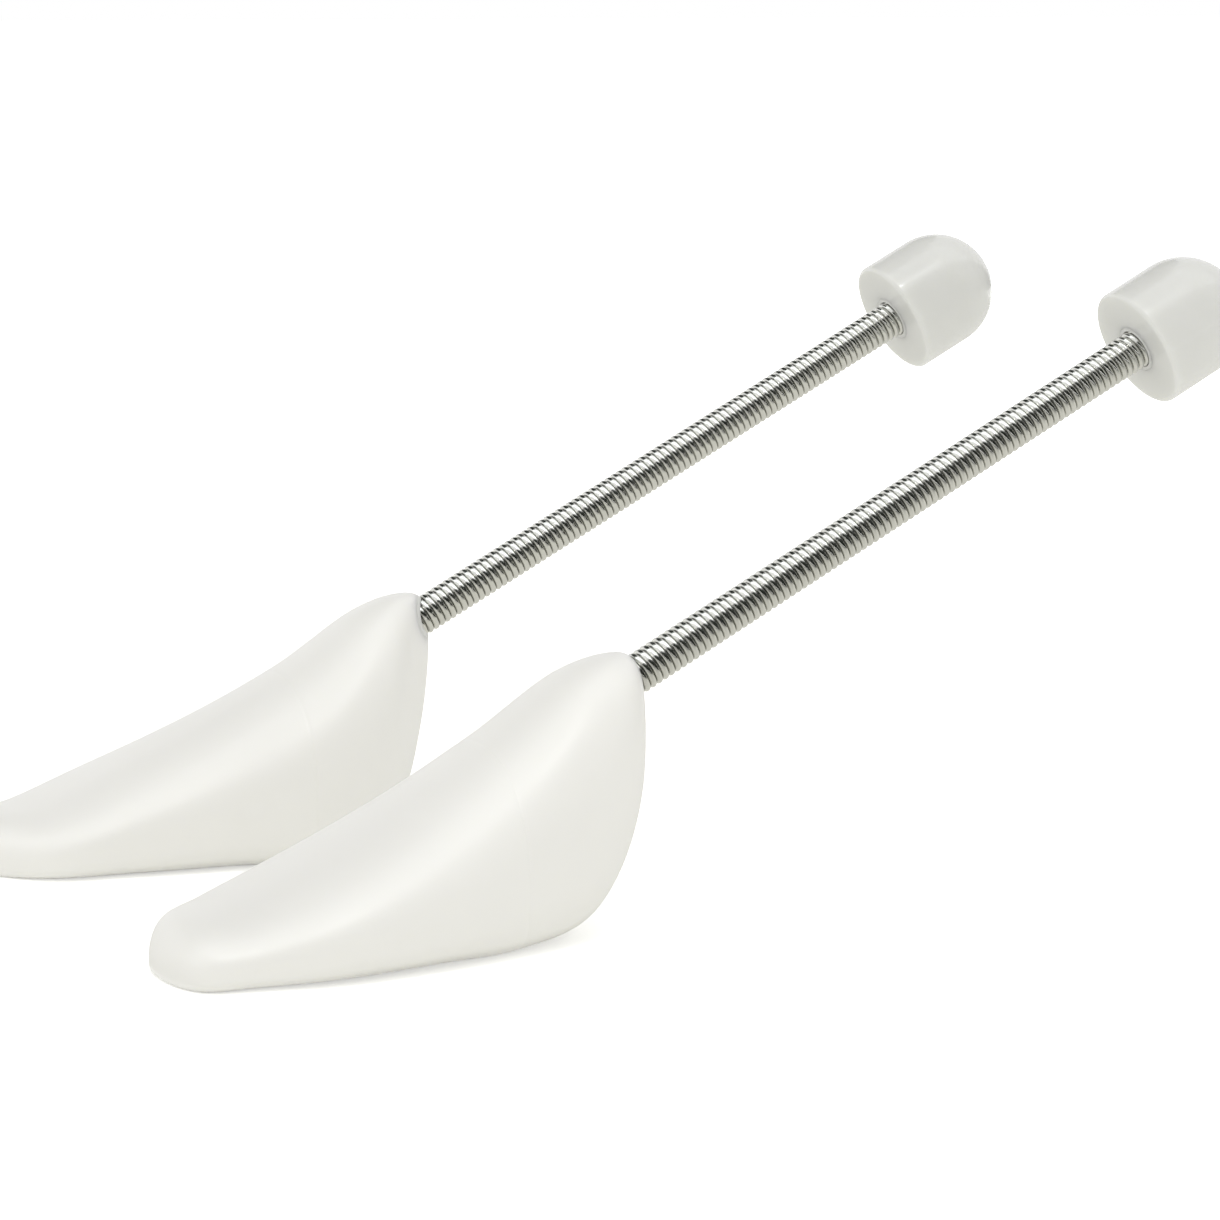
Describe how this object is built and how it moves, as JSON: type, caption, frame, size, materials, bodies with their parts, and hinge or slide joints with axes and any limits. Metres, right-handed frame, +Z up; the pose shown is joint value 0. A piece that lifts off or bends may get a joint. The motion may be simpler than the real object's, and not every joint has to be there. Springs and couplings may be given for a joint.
{
  "type": "shoe stretcher",
  "caption": "Spring shoe stretchers for one pair of shoes: hollow moulded toe forms, close-wound coil springs and domed heel knobs that bow and sway on them.",
  "frame": {"origin": "middle of the pair's bounding box, in the plane of the flat soles", "axes": "+X from the toes to the heel knobs, +Y from the right stretcher to the left one, +Z up from the soles"},
  "size_m": [0.3206, 0.1946, 0.1635],
  "materials": {
    "toe_plastic": "satin",
    "knob_plastic": "gloss",
    "socket_plastic": "satin",
    "spring_steel": "polished"
  },
  "bodies": {
    "right_toe": {"right_toe_form": "toe_plastic", "right_toe_socket": "socket_plastic", "right_toe_peg": "socket_plastic", "right_spring_1": "spring_steel"},
    "right_spring_link_2": {"right_spring_2": "spring_steel"},
    "right_spring_link_3": {"right_spring_3": "spring_steel"},
    "right_spring_link_4": {"right_spring_4": "spring_steel"},
    "right_spring_link_5": {"right_spring_5": "spring_steel"},
    "right_spring_link_6": {"right_spring_6": "spring_steel"},
    "right_spring_link_7": {"right_spring_7": "spring_steel"},
    "right_spring_link_8": {"right_spring_8": "spring_steel"},
    "right_spring_link_9": {"right_spring_9": "spring_steel"},
    "right_heel": {"right_spring_10": "spring_steel", "right_knob_peg": "socket_plastic", "right_knob_socket": "socket_plastic", "right_heel_knob": "knob_plastic"},
    "left_toe": {"left_toe_form": "toe_plastic", "left_toe_socket": "socket_plastic", "left_toe_peg": "socket_plastic", "left_spring_1": "spring_steel"},
    "left_spring_link_2": {"left_spring_2": "spring_steel"},
    "left_spring_link_3": {"left_spring_3": "spring_steel"},
    "left_spring_link_4": {"left_spring_4": "spring_steel"},
    "left_spring_link_5": {"left_spring_5": "spring_steel"},
    "left_spring_link_6": {"left_spring_6": "spring_steel"},
    "left_spring_link_7": {"left_spring_7": "spring_steel"},
    "left_spring_link_8": {"left_spring_8": "spring_steel"},
    "left_spring_link_9": {"left_spring_9": "spring_steel"},
    "left_heel": {"left_spring_10": "spring_steel", "left_knob_peg": "socket_plastic", "left_knob_socket": "socket_plastic", "left_heel_knob": "knob_plastic"}
  },
  "joints": [
    {"name": "right_bend", "type": "hinge", "parent": "right_toe", "child": "right_spring_link_2", "pos_m": [-0.00895, -0.0565, 0.06582], "axis": [0, -1, 0], "range_deg": [-12, 12], "stiffness_Nm_per_rad": 2.5},
    {"name": "right_sway", "type": "hinge", "parent": "right_spring_link_2", "child": "right_spring_link_3", "pos_m": [0.00738, -0.0565, 0.07451], "axis": [-0.4695, 0, 0.8829], "range_deg": [-8, 8], "stiffness_Nm_per_rad": 2},
    {"name": "right_bend_2", "type": "hinge", "parent": "right_spring_link_3", "child": "right_spring_link_4", "pos_m": [0.02372, -0.0565, 0.0832], "axis": [0, -1, 0], "range_deg": [-12, 12], "stiffness_Nm_per_rad": 2.5},
    {"name": "right_sway_2", "type": "hinge", "parent": "right_spring_link_4", "child": "right_spring_link_5", "pos_m": [0.04005, -0.0565, 0.09188], "axis": [-0.4695, 0, 0.8829], "range_deg": [-8, 8], "stiffness_Nm_per_rad": 2},
    {"name": "right_bend_3", "type": "hinge", "parent": "right_spring_link_5", "child": "right_spring_link_6", "pos_m": [0.05639, -0.0565, 0.10057], "axis": [0, -1, 0], "range_deg": [-12, 12], "stiffness_Nm_per_rad": 2.5},
    {"name": "right_sway_3", "type": "hinge", "parent": "right_spring_link_6", "child": "right_spring_link_7", "pos_m": [0.07272, -0.0565, 0.10925], "axis": [-0.4695, 0, 0.8829], "range_deg": [-8, 8], "stiffness_Nm_per_rad": 2},
    {"name": "right_bend_4", "type": "hinge", "parent": "right_spring_link_7", "child": "right_spring_link_8", "pos_m": [0.08905, -0.0565, 0.11794], "axis": [0, -1, 0], "range_deg": [-12, 12], "stiffness_Nm_per_rad": 2.5},
    {"name": "right_sway_4", "type": "hinge", "parent": "right_spring_link_8", "child": "right_spring_link_9", "pos_m": [0.10539, -0.0565, 0.12662], "axis": [-0.4695, 0, 0.8829], "range_deg": [-8, 8], "stiffness_Nm_per_rad": 2},
    {"name": "right_bend_5", "type": "hinge", "parent": "right_spring_link_9", "child": "right_heel", "pos_m": [0.12172, -0.0565, 0.13531], "axis": [0, -1, 0], "range_deg": [-12, 12], "stiffness_Nm_per_rad": 2.5},
    {"name": "pair_spread", "type": "slide", "parent": "right_toe", "child": "left_toe", "axis": [0, 1, 0], "range_m": [0, 0.1]},
    {"name": "left_bend", "type": "hinge", "parent": "left_toe", "child": "left_spring_link_2", "pos_m": [-0.02195, 0.0565, 0.06582], "axis": [0, -1, 0], "range_deg": [-12, 12], "stiffness_Nm_per_rad": 2.5},
    {"name": "left_sway", "type": "hinge", "parent": "left_spring_link_2", "child": "left_spring_link_3", "pos_m": [-0.00562, 0.0565, 0.07451], "axis": [-0.4695, 0, 0.8829], "range_deg": [-8, 8], "stiffness_Nm_per_rad": 2},
    {"name": "left_bend_2", "type": "hinge", "parent": "left_spring_link_3", "child": "left_spring_link_4", "pos_m": [0.01072, 0.0565, 0.0832], "axis": [0, -1, 0], "range_deg": [-12, 12], "stiffness_Nm_per_rad": 2.5},
    {"name": "left_sway_2", "type": "hinge", "parent": "left_spring_link_4", "child": "left_spring_link_5", "pos_m": [0.02705, 0.0565, 0.09188], "axis": [-0.4695, 0, 0.8829], "range_deg": [-8, 8], "stiffness_Nm_per_rad": 2},
    {"name": "left_bend_3", "type": "hinge", "parent": "left_spring_link_5", "child": "left_spring_link_6", "pos_m": [0.04339, 0.0565, 0.10057], "axis": [0, -1, 0], "range_deg": [-12, 12], "stiffness_Nm_per_rad": 2.5},
    {"name": "left_sway_3", "type": "hinge", "parent": "left_spring_link_6", "child": "left_spring_link_7", "pos_m": [0.05972, 0.0565, 0.10925], "axis": [-0.4695, 0, 0.8829], "range_deg": [-8, 8], "stiffness_Nm_per_rad": 2},
    {"name": "left_bend_4", "type": "hinge", "parent": "left_spring_link_7", "child": "left_spring_link_8", "pos_m": [0.07605, 0.0565, 0.11794], "axis": [0, -1, 0], "range_deg": [-12, 12], "stiffness_Nm_per_rad": 2.5},
    {"name": "left_sway_4", "type": "hinge", "parent": "left_spring_link_8", "child": "left_spring_link_9", "pos_m": [0.09239, 0.0565, 0.12662], "axis": [-0.4695, 0, 0.8829], "range_deg": [-8, 8], "stiffness_Nm_per_rad": 2},
    {"name": "left_bend_5", "type": "hinge", "parent": "left_spring_link_9", "child": "left_heel", "pos_m": [0.10873, 0.0565, 0.13531], "axis": [0, -1, 0], "range_deg": [-12, 12], "stiffness_Nm_per_rad": 2.5}
  ],
  "couplings": [
    {"joint": "right_bend_2", "follows": "right_bend", "ratio": 1},
    {"joint": "right_sway_2", "follows": "right_sway", "ratio": 1},
    {"joint": "right_bend_3", "follows": "right_bend", "ratio": 1},
    {"joint": "right_sway_3", "follows": "right_sway", "ratio": 1},
    {"joint": "right_bend_4", "follows": "right_bend", "ratio": 1},
    {"joint": "right_sway_4", "follows": "right_sway", "ratio": 1},
    {"joint": "right_bend_5", "follows": "right_bend", "ratio": 1},
    {"joint": "left_bend_2", "follows": "left_bend", "ratio": 1},
    {"joint": "left_sway_2", "follows": "left_sway", "ratio": 1},
    {"joint": "left_bend_3", "follows": "left_bend", "ratio": 1},
    {"joint": "left_sway_3", "follows": "left_sway", "ratio": 1},
    {"joint": "left_bend_4", "follows": "left_bend", "ratio": 1},
    {"joint": "left_sway_4", "follows": "left_sway", "ratio": 1},
    {"joint": "left_bend_5", "follows": "left_bend", "ratio": 1}
  ]
}
